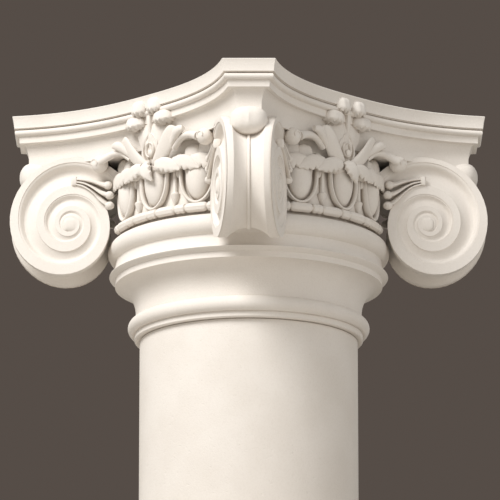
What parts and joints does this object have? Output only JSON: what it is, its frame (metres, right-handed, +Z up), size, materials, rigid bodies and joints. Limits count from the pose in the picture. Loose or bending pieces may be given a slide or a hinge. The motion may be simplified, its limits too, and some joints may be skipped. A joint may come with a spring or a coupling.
{
  "type": "ionic capital",
  "caption": "Angular Ionic capital with a concave-sided abacus, diagonal corner volutes, egg-and-dart belt and fleurons, on a plain length of round shaft; crowns a column.",
  "frame": {"origin": "middle of the shaft's underside", "axes": "+Z up along the column's axis; the abacus's sides face along +X, -X, +Y and -Y, and the volutes stand on the diagonals"},
  "size_m": [0.4344, 0.4344, 0.4885],
  "materials": {
    "cast_stone": "fine matt cast surface, warm off-white",
    "shaft_stone": "fine matt cast surface, lightly mottled"
  },
  "bodies": {
    "root": {"capital": "cast_stone", "shaft": "shaft_stone"}
  },
  "joints": []
}
